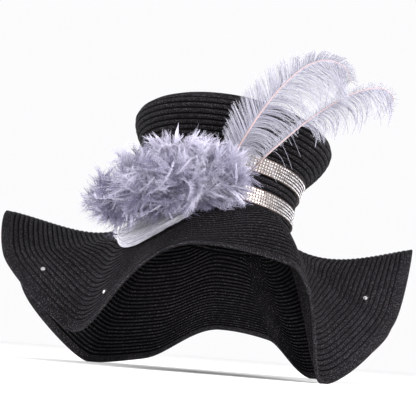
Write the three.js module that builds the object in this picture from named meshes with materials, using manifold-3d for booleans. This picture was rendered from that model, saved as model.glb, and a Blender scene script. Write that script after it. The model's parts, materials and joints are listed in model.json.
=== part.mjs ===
// Dress hat of sewn straw braid: wide wavy brim, flared crown, two stone bands,
// a marabou cluster with base feathers and two ostrich plumes at the front left.
// Millimetres, +Z up, front towards -Y, wearer's front brim arched up. The brim stands
// on its lowest edges at z = 0.
import * as THREE from 'three'
import Module from 'manifold-3d'

const wasm = await Module()
wasm.setup()

// Driving dimensions
const STRAW = 2.4 // wall of the sewn braid
const GAP = 0.3 // seat between neighbouring pieces
const HEAD = { halfWidth: 86, halfDepth: 100 } // outside of the head ring
const RING = { x: 10, y: 0, z: 165, leanBack: 5, leanRight: 7 } // head ring's centre and tilt
const SEAM = 25 // height over the ring where brim neck and crown meet, under the lower band
const NECK = { flare: 0.8, flareFrom: 16, foot: 8 } // brim's neck: its stand-out and its lowest ring
const CEILING = 128 // top of the crown over the ring
const CEILING_INSET = 1 // how far the ceiling's edge lies inside the top's edge
const CROWN_SIDES = 54
const BAND_WALL = 2.2
const BAND_BEVEL = 0.8
const BANDS = [
  { name: 'lower_band', from: 16.5, to: 33.5 },
  { name: 'upper_band', from: 50.5, to: 66.5 },
]

// Crown, outside: how far it stands out from the head ring at each height
const CROWN = [
  { height: SEAM + GAP / 2, out: 0.8 },
  { height: 34, out: 0.6 },
  { height: 50, out: 3 },
  { height: 67, out: 7.5 },
  { height: 76, out: 13.5 },
  { height: 86, out: 21.5 },
  { height: 95, out: 27.5 },
  { height: 104, out: 31.5 },
  { height: 111, out: 32.6 },
  { height: 117.5, out: 29.5 },
  { height: 123, out: 21 },
  { height: 127, out: 9 },
  { height: CEILING, out: -6 },
]

// Brim, top side: a row per fold. at: angle round the hat (0 right, 90 back, 180 left,
// 270 front); reach and height of its edge; slopes (degrees, up positive) at ring and edge
const FOLDS = [
  { at: 1, reach: 243, height: 160, ringSlope: -28, edgeSlope: 14 },
  { at: 22, reach: 252, height: 56, ringSlope: -24, edgeSlope: -26 },
  { at: 47, reach: 228, height: 0.8, ringSlope: -48, edgeSlope: -47 },
  { at: 62, reach: 207, height: 47, ringSlope: -62, edgeSlope: -40 },
  { at: 82, reach: 206, height: 57, ringSlope: -66, edgeSlope: -32 },
  { at: 112, reach: 188, height: 10, ringSlope: -58, edgeSlope: -50 },
  { at: 137, reach: 187, height: 0.5, ringSlope: -58, edgeSlope: -55 },
  { at: 158, reach: 240, height: 82, ringSlope: -23, edgeSlope: -25 },
  { at: 178, reach: 236, height: 169, ringSlope: -50, edgeSlope: 8 },
  { at: 200, reach: 230, height: 109, ringSlope: -58, edgeSlope: -17 },
  { at: 223, reach: 176, height: 33, ringSlope: -38, edgeSlope: -64 },
  { at: 268, reach: 228, height: 122, ringSlope: 2, edgeSlope: -14 },
  { at: 290, reach: 240, height: 108, ringSlope: 19, edgeSlope: -56 },
  { at: 314, reach: 187, height: 0, ringSlope: -40, edgeSlope: -68 },
  { at: 343, reach: 222, height: 70, ringSlope: -50, edgeSlope: -8 },
]
const BRIM_STEP = 4.6 // degrees between sections, at most
const BRIM_ROWS = [0.07, 0.16, 0.27, 0.38, 0.5, 0.62, 0.74, 0.87, 1]
const BEND = [0.35, 0.7] // points on the small bend between neck and brim
const PULL = 0.38 // how far the end slopes carry, as a share of the chord

// Loose stones sewn to the brim: angle round the hat and share of the way to the edge
const STONES = [
  { at: 207, way: 0.85 },
  { at: 233, way: 0.81 },
  { at: 347, way: 0.75 },
  { at: 30, way: 0.72 },
  { at: 70, way: 0.8 },
  { at: 108, way: 0.7 },
  { at: 152, way: 0.78 },
]
const STONE = {
  girdle: 2.45, table: 1.35, base: 2.0, height: 1.9, girdleLow: 0.65, girdleHigh: 0.95, facets: 8,
}

const SIGHT = 15 // a stone's place is looked for from this far over the brim

// Marabou: locks fanned round a head. swing: direction in the fan (0 right, 90 up)
const FAN = [
  { swing: -18, reach: 56 },
  { swing: -9, reach: 84 },
  { swing: 5, reach: 94 },
  { swing: 19, reach: 98 },
  { swing: 35, reach: 88 },
  { swing: 54, reach: 77 },
  { swing: 75, reach: 62 },
  { swing: 104, reach: 62 },
  { swing: 128, reach: 60 },
  { swing: 146, reach: 70 },
  { swing: 165, reach: 76 },
  { swing: 182, reach: 90 },
  { swing: 198, reach: 102 },
  { swing: 214, reach: 84 },
]
const TIERS = [
  { locks: 14, share: 1, tilt: 8, width: 11, thick: 3.2 },
  { locks: 10, share: 0.8, tilt: 26, width: 11, thick: 3.2 },
  { locks: 7, share: 0.62, tilt: 48, width: 10, thick: 3.2 },
]
const LOCK = { start: 6, sag: 0.06, short: 0.9, rootBulk: 1.15, tipBulk: 0.4 }
const LOCK_OUTLINE = [
  { share: 0, width: 0.55 },
  { share: 0.3, width: 1 },
  { share: 0.6, width: 0.85 },
  { share: 0.85, width: 0.5 },
  { share: 1, width: 0.12 },
]
const MARABOU = { x: -36, y: -117, z: 190, facing: 15 } // head's centre; facing turns it to the left
const MARABOU_HEAD = { wide: 23, deep: 8.5, tall: 19, sides: 10, latitudes: [-60, -25, 12, 48] }
const BACKING = { fromSide: 35, toSide: 36, low: 18, high: 32, deep: 26 } // pad on the lower band

// Base feathers lying on the brim: each bends from its root to its tip. Angle and way to the
// edge of root, bend and tip, and the blade's width
const BLADES = [
  { rootAt: 248, rootWay: 0.15, bendAt: 233, bendWay: 0.2, tipAt: 190, tipWay: 0.27, width: 20 },
  { rootAt: 249.5, rootWay: 0.15, bendAt: 240, bendWay: 0.35, tipAt: 208, tipWay: 0.32, width: 22 },
  { rootAt: 251, rootWay: 0.15, bendAt: 250, bendWay: 0.44, tipAt: 229, tipWay: 0.41, width: 22 },
]
const BLADE = { thick: 2, lift: 1.9, rise: 0.6, stack: 0.8, edgeDrop: 1, step: 0.05 }
const BLADE_OUTLINE = [
  { share: 0, width: 0.35 },
  { share: 0.2, width: 0.7 },
  { share: 0.45, width: 1 },
  { share: 0.7, width: 0.95 },
  { share: 0.88, width: 0.65 },
  { share: 1, width: 0.15 },
]

// Plumes: where the quill is sewn to the crown, then its path in the air, with the vane's
// reach above (outer) and below (inner) it
const PLUME_SEATS = {
  plume_left: { at: 268, height: 41 },
  plume_right: { at: 284, height: 41 },
}
const PLUMES = {
  plume_left: [
    { x: 21, y: -120, z: 226, outer: 16, inner: 12 },
    { x: 31, y: -128, z: 245, outer: 30, inner: 22 },
    { x: 47, y: -133, z: 274, outer: 34, inner: 34 },
    { x: 66, y: -135, z: 302, outer: 24, inner: 44 },
    { x: 89, y: -134, z: 327, outer: 16, inner: 48 },
    { x: 113, y: -130, z: 339, outer: 13, inner: 44 },
    { x: 134, y: -124, z: 335, outer: 12, inner: 30 },
    { x: 143, y: -120, z: 320, outer: 10, inner: 16 },
  ],
  plume_right: [
    { x: 55, y: -126, z: 229, outer: 8, inner: 9 },
    { x: 80, y: -124, z: 255, outer: 12, inner: 20 },
    { x: 99, y: -120, z: 274, outer: 13, inner: 26 },
    { x: 128, y: -113, z: 298, outer: 13, inner: 30 },
    { x: 153, y: -107, z: 314, outer: 13, inner: 32 },
    { x: 179, y: -100, z: 322, outer: 11, inner: 30 },
    { x: 194, y: -95, z: 314, outer: 9, inner: 18 },
    { x: 191, y: -93, z: 301, outer: 8, inner: 8 },
  ],
}
const VANE = {
  stations: 27, quill: 1.5, rootBulk: 1.15, tipBulk: 0.55, root: 2.2,
  edge: 0.7, middle: 0.55, notch: 0.78, sweep: 38, droop: 0.35,
}
const QUILL_SEAT = 1.35 // quill's middle from the crown's outside

const DEG = Math.PI / 180
const UP = new THREE.Vector3(0, 0, 1)

// Smooth periodic interpolation of one column of FOLDS that never overshoots its rows
function foldValue(column, at) {
  const n = FOLDS.length
  const turn = ((at - FOLDS[0].at) % 360 + 360) % 360 + FOLDS[0].at
  const span = (k) => (k === n - 1 ? FOLDS[0].at + 360 : FOLDS[k + 1].at) - FOLDS[k].at
  const rise = (k) => (FOLDS[(k + 1) % n][column] - FOLDS[k][column]) / span(k)
  const slopeAt = (k) => {
    const before = (k + n - 1) % n
    const a = rise(before)
    const b = rise(k)
    if (a * b <= 0) return 0
    const wa = 2 * span(k) + span(before)
    const wb = span(k) + 2 * span(before)
    return (wa + wb) / (wa / a + wb / b)
  }
  let k = n - 1
  while (FOLDS[k].at > turn) k -= 1
  const next = (k + 1) % n
  const h = span(k)
  const t = (turn - FOLDS[k].at) / h
  const t2 = t * t
  const t3 = t2 * t
  return (2 * t3 - 3 * t2 + 1) * FOLDS[k][column]
    + (t3 - 2 * t2 + t) * h * slopeAt(k)
    + (3 * t2 - 2 * t3) * FOLDS[next][column]
    + (t3 - t2) * h * slopeAt(next)
}

// A point given in the crown's own tilted frame, as angle, stand-out and height
const ringPlace = new THREE.Matrix4()
  .makeTranslation(RING.x, RING.y, RING.z)
  .multiply(new THREE.Matrix4().makeRotationY(RING.leanRight * DEG))
  .multiply(new THREE.Matrix4().makeRotationX(-RING.leanBack * DEG))

function crownPoint(at, out, height) {
  const a = at * DEG
  const x = (HEAD.halfWidth + out) * Math.cos(a)
  const y = (HEAD.halfDepth + out) * Math.sin(a)
  return new THREE.Vector3(x, y, height).applyMatrix4(ringPlace)
}

// The brim's top side from the head ring (way 0) to its edge (way 1)
function brimPoint(at, way) {
  const outward = new THREE.Vector3(Math.cos(at * DEG), Math.sin(at * DEG), 0)
  const along = (slope) => outward.clone().multiplyScalar(Math.cos(slope * DEG))
    .addScaledVector(UP, Math.sin(slope * DEG))
  const start = crownPoint(at, 0, 0)
  const end = outward.clone().multiplyScalar(foldValue('reach', at))
  end.z = foldValue('height', at)
  const pull = PULL * start.distanceTo(end)
  const first = start.clone().addScaledVector(along(foldValue('ringSlope', at)), pull)
  const second = end.clone().addScaledVector(along(foldValue('edgeSlope', at)), -pull)
  return new THREE.CubicBezierCurve3(start, first, second, end).getPoint(way)
}

function brimNormal(at, way) {
  const low = Math.max(way - 0.01, 0)
  const high = Math.min(way + 0.01, 1)
  const outwards = brimPoint(at, high).sub(brimPoint(at, low))
  const round = brimPoint(at + 0.5, way).sub(brimPoint(at - 0.5, way))
  return outwards.cross(round).normalize()
}

// The point at a height off the brim's top side that lies nearest to a given point
function overBrim(point, startAt, startWay, lift) {
  let at = startAt
  let way = startWay
  for (let i = 0; i < 4; i += 1) {
    const off = point.clone().sub(brimPoint(at, way))
    const round = brimPoint(at + 0.5, way).sub(brimPoint(at - 0.5, way))
    const out = brimPoint(at, way + 0.01).sub(brimPoint(at, way - 0.01)).divideScalar(0.02)
    const rr = round.dot(round)
    const ro = round.dot(out)
    const oo = out.dot(out)
    const whole = rr * oo - ro * ro
    at += (off.dot(round) * oo - off.dot(out) * ro) / whole
    way += (off.dot(out) * rr - off.dot(round) * ro) / whole
  }
  return brimPoint(at, way).addScaledVector(brimNormal(at, way), lift)
}

// Closed geometry from rings of points; closed round both ways, or capped at its ends
function loft(rings, capped) {
  const size = rings[0].length
  const points = rings.flat()
  const faces = []
  const last = capped ? rings.length - 1 : rings.length
  for (let i = 0; i < last; i += 1) {
    const next = (i + 1) % rings.length
    for (let j = 0; j < size; j += 1) {
      const side = (j + 1) % size
      const a = i * size + j
      const b = next * size + j
      const c = next * size + side
      const d = i * size + side
      faces.push([a, b, c], [a, c, d])
    }
  }
  if (capped) {
    const cap = (ring, from, flip) => {
      const middle = new THREE.Vector3()
      ring.forEach((p) => middle.add(p))
      points.push(middle.divideScalar(size))
      const centre = points.length - 1
      for (let j = 0; j < size; j += 1) {
        const side = (j + 1) % size
        if (flip) faces.push([centre, from + j, from + side])
        else faces.push([centre, from + side, from + j])
      }
    }
    cap(rings[0], 0, true)
    cap(rings[rings.length - 1], (rings.length - 1) * size, false)
  }
  return solidGeometry(points, faces)
}

// Indexed geometry whose faces are turned to point outwards
function solidGeometry(points, faces) {
  let volume = 0
  const normal = new THREE.Vector3()
  faces.forEach(([a, b, c]) => {
    volume += points[a].dot(normal.crossVectors(points[b], points[c]))
  })
  const index = faces.flatMap(([a, b, c]) => (volume < 0 ? [a, c, b] : [a, b, c]))
  const geometry = new THREE.BufferGeometry()
  const positions = points.flatMap((p) => [p.x, p.y, p.z])
  geometry.setAttribute('position', new THREE.Float32BufferAttribute(positions, 3))
  geometry.setIndex(index)
  geometry.computeVertexNormals()
  return geometry
}

function toManifold(geometry) {
  return new wasm.Manifold(new wasm.Mesh({
    numProp: 3,
    vertProperties: new Float32Array(geometry.attributes.position.array),
    triVerts: new Uint32Array(geometry.index.array),
  }))
}

function fuse(geometries) {
  let whole = toManifold(geometries[0])
  geometries.slice(1).forEach((g) => {
    whole = whole.add(toManifold(g))
  })
  const mesh = whole.getMesh()
  const geometry = new THREE.BufferGeometry()
  geometry.setAttribute('position', new THREE.Float32BufferAttribute(mesh.vertProperties, 3))
  geometry.setIndex(Array.from(mesh.triVerts))
  geometry.computeVertexNormals()
  return geometry
}

// Materials
const straw = new THREE.MeshStandardMaterial({ color: 0x26252a, roughness: 0.55, metalness: 0 })
const crystal = new THREE.MeshStandardMaterial({ color: 0xc9c6c8, roughness: 0.12, metalness: 0.75 })
const stone = new THREE.MeshStandardMaterial({ color: 0xe6e6ea, roughness: 0.05, metalness: 0.1 })
const marabou = new THREE.MeshStandardMaterial({ color: 0x9a97a8, roughness: 0.9, metalness: 0 })
const hackle = new THREE.MeshStandardMaterial({ color: 0xb9b5c2, roughness: 0.7, metalness: 0 })
const ostrich = new THREE.MeshStandardMaterial({ color: 0xd9d8e6, roughness: 0.9, metalness: 0 })

function sectionAngles() {
  const angles = []
  FOLDS.forEach((fold, k) => {
    const end = k + 1 < FOLDS.length ? FOLDS[k + 1].at : FOLDS[0].at + 360
    const steps = Math.ceil((end - fold.at) / BRIM_STEP)
    for (let i = 0; i < steps; i += 1) angles.push(fold.at + (end - fold.at) * i / steps)
  })
  return angles
}

// Top side of one brim section: neck, small fillet, then the brim out to its edge
function brimSection(at) {
  const outAt = (height) => NECK.flare * Math.min(height / NECK.flareFrom, 1)
  const neck = [SEAM - GAP / 2, NECK.flareFrom, NECK.foot].map((h) => crownPoint(at, outAt(h), h))
  const corner = crownPoint(at, 0, 0)
  const bend = new THREE.QuadraticBezierCurve3(neck[2], corner, brimPoint(at, BRIM_ROWS[0]))
  const rows = BRIM_ROWS.map((way) => brimPoint(at, way))
  return [...neck, ...BEND.map((share) => bend.getPoint(share)), ...rows]
}

function buildBrim() {
  const tops = sectionAngles().map(brimSection)
  const n = tops.length
  const rings = tops.map((section, i) => {
    const before = tops[(i + n - 1) % n]
    const after = tops[(i + 1) % n]
    const unders = section.map((p, j) => {
      const along = section[Math.min(j + 1, section.length - 1)].clone()
        .sub(section[Math.max(j - 1, 0)])
      const round = after[j].clone().sub(before[j])
      const normal = along.cross(round).normalize()
      return p.clone().addScaledVector(normal, -STRAW)
    })
    return [...section, ...unders.reverse()]
  })
  return new THREE.Mesh(loft(rings, false), straw)
}

function buildCrown() {
  const outside = CROWN.map((row) => new THREE.Vector2(row.out, row.height))
  const inside = outside.map((p, k) => {
    const along = outside[Math.min(k + 1, outside.length - 1)].clone()
      .sub(outside[Math.max(k - 1, 0)]).normalize()
    return new THREE.Vector2(p.x - along.y * STRAW, p.y + along.x * STRAW)
  })
  inside[0].y = outside[0].y
  inside[inside.length - 1].set(outside[outside.length - 1].x - CEILING_INSET, CEILING - STRAW)
  const profile = [...inside.reverse(), ...outside]
  const points = []
  const faces = []
  profile.forEach((p) => {
    for (let i = 0; i < CROWN_SIDES; i += 1) points.push(crownPoint(i * 360 / CROWN_SIDES, p.x, p.y))
  })
  for (let k = 0; k + 1 < profile.length; k += 1) {
    for (let i = 0; i < CROWN_SIDES; i += 1) {
      const next = (i + 1) % CROWN_SIDES
      const a = k * CROWN_SIDES
      const b = a + CROWN_SIDES
      faces.push([a + i, a + next, b + next], [a + i, b + next, b + i])
    }
  }
  const under = points.push(new THREE.Vector3(0, 0, CEILING - STRAW).applyMatrix4(ringPlace)) - 1
  const over = points.push(new THREE.Vector3(0, 0, CEILING).applyMatrix4(ringPlace)) - 1
  const top = (profile.length - 1) * CROWN_SIDES
  for (let i = 0; i < CROWN_SIDES; i += 1) {
    const next = (i + 1) % CROWN_SIDES
    faces.push([under, next, i], [over, top + i, top + next])
  }
  return new THREE.Mesh(solidGeometry(points, faces), straw)
}

function crownOut(height) {
  let k = 0
  while (k + 2 < CROWN.length && CROWN[k + 1].height < height) k += 1
  const a = CROWN[k]
  const b = CROWN[k + 1]
  return a.out + (b.out - a.out) * (height - a.height) / (b.height - a.height)
}

function buildBand({ from, to }) {
  const lean = (crownOut(to) - crownOut(from)) / (to - from)
  const inner = (h) => crownOut(from) + lean * (h - from) + GAP
  const loop = [
    [inner(from), from],
    [inner(to), to],
    [inner(to) + BAND_WALL - BAND_BEVEL, to],
    [inner(to - BAND_BEVEL) + BAND_WALL, to - BAND_BEVEL],
    [inner(from + BAND_BEVEL) + BAND_WALL, from + BAND_BEVEL],
    [inner(from) + BAND_WALL - BAND_BEVEL, from],
  ]
  const rings = []
  for (let i = 0; i < CROWN_SIDES; i += 1) {
    rings.push(loop.map(([out, h]) => crownPoint(i * 360 / CROWN_SIDES, out, h)))
  }
  return new THREE.Mesh(loft(rings, false), crystal)
}

// A curved tapering lock of down, flat and pointed
function lockGeometry(root, direction, face, length, tier, sag) {
  const side = new THREE.Vector3().crossVectors(direction, face).normalize()
  const rings = LOCK_OUTLINE.map(({ share, width }) => {
    const centre = root.clone().addScaledVector(direction, length * share)
    centre.z -= sag * share * share
    const w = tier.width / 2 * width
    const t = tier.thick / 2 * (LOCK.rootBulk + (LOCK.tipBulk - LOCK.rootBulk) * share)
    return [[w, 0], [0, t], [-w, 0], [0, -t]].map(([u, v]) => centre.clone()
      .addScaledVector(side, u).addScaledVector(face, v))
  })
  return loft(rings, true)
}

function fanReach(swing) {
  let k = 0
  while (k + 2 < FAN.length && FAN[k + 1].swing < swing) k += 1
  const a = FAN[k]
  const b = FAN[k + 1]
  return a.reach + (b.reach - a.reach) * (swing - a.swing) / (b.swing - a.swing)
}

function buildMarabou() {
  const right = new THREE.Vector3(Math.cos(MARABOU.facing * DEG), -Math.sin(MARABOU.facing * DEG), 0)
  const out = new THREE.Vector3().crossVectors(right, UP).normalize()
  const centre = new THREE.Vector3(MARABOU.x, MARABOU.y, MARABOU.z)
  const basis = new THREE.Matrix4().makeBasis(
    right.clone().multiplyScalar(MARABOU_HEAD.wide),
    UP.clone().multiplyScalar(MARABOU_HEAD.tall),
    out.clone().multiplyScalar(-MARABOU_HEAD.deep),
  ).setPosition(centre)
  const pieces = [sphereSolid(basis), backingSolid()]
  const first = FAN[0].swing
  const sweep = FAN[FAN.length - 1].swing - first
  TIERS.forEach((tier, level) => {
    for (let i = 0; i < tier.locks; i += 1) {
      const swing = first + sweep * (i + 0.5 * (level % 2)) / (tier.locks - 1 + 0.5 * (level % 2))
      const flat = right.clone().multiplyScalar(Math.cos(swing * DEG))
        .addScaledVector(UP, Math.sin(swing * DEG))
      const direction = flat.clone().multiplyScalar(Math.cos(tier.tilt * DEG))
        .addScaledVector(out, Math.sin(tier.tilt * DEG))
      const face = out.clone().multiplyScalar(Math.cos(tier.tilt * DEG))
        .addScaledVector(flat, -Math.sin(tier.tilt * DEG))
      const length = fanReach(swing) * tier.share * (i % 2 ? LOCK.short : 1)
      const sag = LOCK.sag * length * Math.abs(Math.cos(swing * DEG))
      const root = centre.clone().addScaledVector(direction, LOCK.start)
      pieces.push(lockGeometry(root, direction, face, length - LOCK.start, tier, sag))
    }
  })
  return new THREE.Mesh(fuse(pieces), marabou)
}

// Pad between the lower band's outside and the marabou's head
function backingSolid() {
  const seat = crownOut(BANDS[0].from) + GAP + BAND_WALL + GAP
  const rings = []
  for (let side = BACKING.fromSide; side <= BACKING.toSide; side += 1) {
    const at = side * 360 / CROWN_SIDES
    rings.push([
      crownPoint(at, seat, BACKING.low),
      crownPoint(at, seat, BACKING.high),
      crownPoint(at, seat + BACKING.deep, BACKING.high),
      crownPoint(at, seat + BACKING.deep, BACKING.low),
    ])
  }
  return loft(rings, true)
}

// Unit sphere solid placed by a matrix
function sphereSolid(matrix) {
  const { sides, latitudes } = MARABOU_HEAD
  const rings = latitudes.map((lat) => {
    const ring = []
    for (let i = 0; i < sides; i += 1) {
      const a = i * 2 * Math.PI / sides
      const c = Math.cos(lat * DEG)
      ring.push(new THREE.Vector3(c * Math.cos(a), Math.sin(lat * DEG), c * Math.sin(a))
        .applyMatrix4(matrix))
    }
    return ring
  })
  return loft(rings, true)
}

function bent(root, bend, tip, share) {
  const rest = 1 - share
  return rest * rest * root + 2 * rest * share * bend + share * share * tip
}

function buildBaseFeathers() {
  const blades = BLADES.map((blade, k) => {
    const rings = BLADE_OUTLINE.map(({ share, width }) => {
      const at = bent(blade.rootAt, blade.bendAt, blade.tipAt, share)
      const way = bent(blade.rootWay, blade.bendWay, blade.tipWay, share)
      const normal = brimNormal(at, way)
      const lift = BLADE.lift + BLADE.rise * (1 - share) * (1 - share) + BLADE.stack * k
      const centre = brimPoint(at, way).addScaledVector(normal, lift)
      const half = blade.width / 2 * width
      const next = share + BLADE.step
      const ahead = brimPoint(
        bent(blade.rootAt, blade.bendAt, blade.tipAt, next),
        bent(blade.rootWay, blade.bendWay, blade.tipWay, next),
      )
      const along = ahead.sub(brimPoint(at, way))
      const side = new THREE.Vector3().crossVectors(normal, along).normalize()
      const edge = (sign) => {
        const beside = centre.clone().addScaledVector(side, sign * half)
        return overBrim(beside, at, way, lift - BLADE.edgeDrop)
      }
      const t = BLADE.thick / 2
      return [
        edge(1),
        centre.clone().addScaledVector(normal, t),
        edge(-1),
        centre.clone().addScaledVector(normal, -t),
      ]
    })
    return loft(rings, true)
  })
  return new THREE.Mesh(fuse(blades), hackle)
}

// Ostrich plume: quill and drooping vanes as one thin serrated leaf
function buildPlume(seat, path) {
  const root = crownPoint(seat.at, crownOut(seat.height) + QUILL_SEAT, seat.height)
  const rows = [{ x: root.x, y: root.y, z: root.z, outer: VANE.root, inner: VANE.root }, ...path]
  const quill = new THREE.CatmullRomCurve3(rows.map((r) => new THREE.Vector3(r.x, r.y, r.z)))
  const column = (name, t) => {
    const at = t * (rows.length - 1)
    const k = Math.min(Math.floor(at), rows.length - 2)
    return rows[k][name] + (rows[k + 1][name] - rows[k][name]) * (at - k)
  }
  const front = new THREE.Vector3(0, -1, 0)
  const rings = []
  for (let i = 0; i < VANE.stations; i += 1) {
    const t = i / (VANE.stations - 1)
    const p = quill.getPoint(t)
    const along = quill.getTangent(t)
    const up = new THREE.Vector3(-along.z, 0, along.x).normalize()
    const face = new THREE.Vector3().crossVectors(along, up).normalize()
    if (face.dot(front) < 0) face.negate()
    const barb = (side, reach, share) => {
      const lean = VANE.sweep * DEG
      const q = p.clone()
      q.addScaledVector(up, side * reach * share * Math.cos(lean))
      q.addScaledVector(along, reach * share * Math.sin(lean))
      if (side < 0) q.z -= VANE.droop * reach * share * share
      return q
    }
    const notch = i % 2 ? VANE.notch : 1
    const outer = column('outer', t) * notch
    const inner = column('inner', t) * notch
    const r = VANE.quill * (VANE.rootBulk + (VANE.tipBulk - VANE.rootBulk) * t)
    const e = VANE.edge
    const m = VANE.middle
    rings.push([
      barb(1, outer, 1),
      barb(1, outer, m).addScaledVector(face, e),
      p.clone().addScaledVector(face, r),
      barb(-1, inner, m).addScaledVector(face, e),
      barb(-1, inner, 1),
      barb(-1, inner, m).addScaledVector(face, -e),
      p.clone().addScaledVector(face, -r),
      barb(1, outer, m).addScaledVector(face, -e),
    ])
  }
  return new THREE.Mesh(loft(rings, true), ostrich)
}

// Cut stone with a flat table, eight crown facets and a flat back
function stoneGeometry() {
  const s = STONE
  const profile = [
    [0, 0], [s.base, 0], [s.girdle, s.girdleLow], [s.girdle, s.girdleHigh],
    [s.table, s.height], [0, s.height],
  ]
  return new THREE.LatheGeometry(profile.map(([x, y]) => new THREE.Vector2(x, y)), s.facets)
}

function placeStone(brim, { at, way }) {
  const normal = brimNormal(at, way)
  const start = brimPoint(at, way).addScaledVector(normal, SIGHT)
  const ray = new THREE.Raycaster(start, normal.clone().negate(), 0, 2 * SIGHT)
  const hit = ray.intersectObject(brim)[0]
  const mesh = new THREE.Mesh(stoneGeometry(), stone)
  const facet = hit.face.normal.clone()
  if (facet.dot(normal) < 0) facet.negate()
  mesh.quaternion.setFromUnitVectors(new THREE.Vector3(0, 1, 0), facet)
  mesh.position.copy(hit.point).addScaledVector(facet, GAP)
  return mesh
}

const group = new THREE.Group()

function put(name, mesh) {
  mesh.name = name
  group.add(mesh)
  return mesh
}

const brim = put('brim', buildBrim())
put('crown', buildCrown())
BANDS.forEach((band) => put(band.name, buildBand(band)))
put('marabou_cluster', buildMarabou())
put('base_feathers', buildBaseFeathers())
Object.entries(PLUMES).forEach(([name, path]) => put(name, buildPlume(PLUME_SEATS[name], path)))
brim.updateMatrixWorld(true)
STONES.forEach((place, k) => put(`brim_stone_${k + 1}`, placeStone(brim, place)))

// The origin is the middle of the footprint, on the ground
group.updateMatrixWorld(true)
const box = new THREE.Box3().setFromObject(group, true)
const middle = box.getCenter(new THREE.Vector3())
group.position.set(-middle.x, -middle.y, -box.min.z)

export default group
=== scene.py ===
import json
import math

import bpy
import numpy as np
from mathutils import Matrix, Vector


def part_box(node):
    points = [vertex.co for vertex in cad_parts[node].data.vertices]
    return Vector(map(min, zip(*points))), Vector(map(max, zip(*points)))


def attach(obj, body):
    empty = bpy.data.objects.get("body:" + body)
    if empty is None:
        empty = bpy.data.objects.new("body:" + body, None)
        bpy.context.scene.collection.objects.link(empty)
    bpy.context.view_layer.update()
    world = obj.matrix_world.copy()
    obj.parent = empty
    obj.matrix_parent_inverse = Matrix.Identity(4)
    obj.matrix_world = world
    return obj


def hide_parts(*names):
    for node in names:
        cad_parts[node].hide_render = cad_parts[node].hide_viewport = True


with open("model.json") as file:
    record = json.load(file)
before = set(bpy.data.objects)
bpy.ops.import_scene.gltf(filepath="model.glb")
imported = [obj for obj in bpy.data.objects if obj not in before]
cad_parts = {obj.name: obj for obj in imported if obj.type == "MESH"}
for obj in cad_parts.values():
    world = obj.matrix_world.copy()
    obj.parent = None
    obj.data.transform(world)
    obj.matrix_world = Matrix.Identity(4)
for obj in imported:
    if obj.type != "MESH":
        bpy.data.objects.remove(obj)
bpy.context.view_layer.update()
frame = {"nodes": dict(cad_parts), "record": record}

# Sizes in millimetres and degrees, in the hat's own frame, unless a comment says metres
HEAD_HALF = (86.0, 100.0)
RING = (10.0, 0.0, 165.0)
LEAN_BACK, LEAN_RIGHT = 5.0, 7.0
SEAM = 25.0
GAP = 0.3
STRAW = 2.4
CEILING = 128.0
BAND_WALL = 2.2
BAND_SPANS = {"lower_band": (16.5, 33.5), "upper_band": (50.5, 66.5)}

# Crown's outside: (height over the head ring, stand-out from the head ring)
CROWN = [
    (25.0, 0.8), (34, 0.6), (50, 3), (67, 7.5), (76, 13.5), (86, 21.5), (95, 27.5), (104, 31.5),
    (111, 32.6), (117.5, 29.5), (123, 21), (127, 9), (CEILING, -6),
]

# Brim's folds: (angle, reach, height of the edge, slope at the ring, slope at the edge)
FOLDS = np.array([
    (1, 243, 160, -28, 14), (22, 252, 56, -24, -26), (47, 228, 0.8, -48, -47),
    (62, 207, 47, -62, -40), (82, 206, 57, -66, -32), (112, 188, 10, -58, -50),
    (137, 187, 0.5, -58, -55), (158, 240, 82, -23, -25), (178, 236, 169, -50, 8),
    (200, 230, 109, -58, -17), (223, 176, 33, -38, -64), (268, 228, 122, 2, -14),
    (290, 240, 108, 19, -56), (314, 187, 0, -40, -68), (343, 222, 70, -50, -8),
], float)
PULL = 0.38

# Braid rows: their width, and their relief as (share of the row, height over the wall, share
# of the braid's pattern, which also sets where the painted groove shade falls)
BRIM_SECTIONS = 300
CROWN_SECTIONS = 320
NECK_ROWS, NECK_LENGTH = 5, 30.0
BRIM_PITCH = 5.5
LEAST_ROW = 0.02
BINDING = 7.0
CROWN_PITCH = 6.0
TOP_ROWS = 13
PROFILE_STEPS = 10
ROW_RELIEF = ((0.0, -0.7, 0.07), (0.14, 0.35, 0.2), (0.5, 0.85, 0.5), (0.86, 0.5, 0.82))
CROWN_RELIEF = ((0.0, -0.7, 0.09), (0.18, 0.35, 0.28), (0.5, 0.8, 0.56), (0.82, 0.5, 0.85))
# The underside's pattern shares widen the painted groove shade and narrow each row's bright crest.
UNDER_RELIEF = ((0.0, -1.2, 0.0), (0.28, 0.0, 0.08), (0.5, 1.1, 0.5), (0.72, 0.3, 0.92))
BINDING_RELIEF = (-0.3, 0.2, 0.35, 0.3)
UNEVEN = 0.16
INNER_RELIEF = ((0.0, -0.3, 0.0), (0.2, 0.35, 0.2), (0.75, 0.45, 0.75))
# Brim's rounded edge: how far in it starts, its radius, its centre's inset and its points
EDGE_START, EDGE_RADIUS, EDGE_INSET, EDGE_ANGLES = 1.2, 1.7, 0.6, (15, 50, 90, 130, 165)

STONE_PITCH = 3.6
WIRE_RADIUS = 0.35
STONE_ROWS = 5
# Sides, two radii and rise: of a band's stone at girdle and table, of cups at rim and foot
BAND_STONE, BAND_CUP, LOOSE_CUP = (8, 1.28, 0.75, 0.95), (8, 1.45, 1.2, 0.3), (12, 2.75, 2.3, 0.1)
# Brim stones: (angle, way to the edge)
LOOSE_STONES = [(207, 0.85), (233, 0.81), (347, 0.75), (30, 0.72), (70, 0.8), (108, 0.7), (152, 0.78)]

# Marabou's outline seen from the front: (swing, reach)
FAN = np.array([
    (-18, 56), (-9, 84), (5, 94), (19, 98), (35, 88), (54, 77), (75, 62), (104, 62), (128, 60),
    (146, 70), (165, 76), (182, 90), (198, 102), (214, 84),
], float)
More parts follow.
